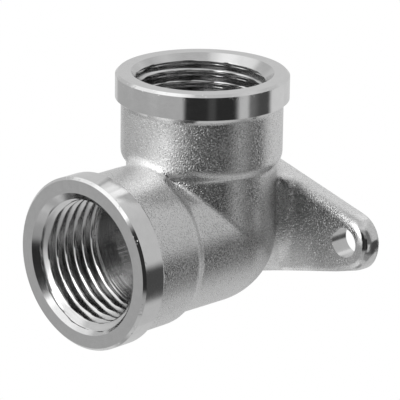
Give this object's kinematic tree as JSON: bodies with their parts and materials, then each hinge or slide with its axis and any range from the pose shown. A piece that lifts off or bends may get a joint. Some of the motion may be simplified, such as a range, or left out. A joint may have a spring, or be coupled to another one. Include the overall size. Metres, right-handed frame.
{
  "type": "wall plate elbow",
  "caption": "Right-angled pipe elbow with a threaded socket at each end and an eared wall plate, which carries a water pipe to a tap on a wall.",
  "frame": {"origin": "on the wall face of the plate, where the axis of the tap socket meets it", "axes": "+Y into the wall, so the tap socket opens towards -Y; +Z out of the pipe socket; +X along the line of the screw holes"},
  "size_m": [0.0486, 0.039, 0.0381],
  "materials": {
    "nickel_plate": "satin nickel plate on forged brass, with bright turned rims"
  },
  "bodies": {
    "root": {"elbow_body": "nickel_plate"}
  },
  "joints": []
}
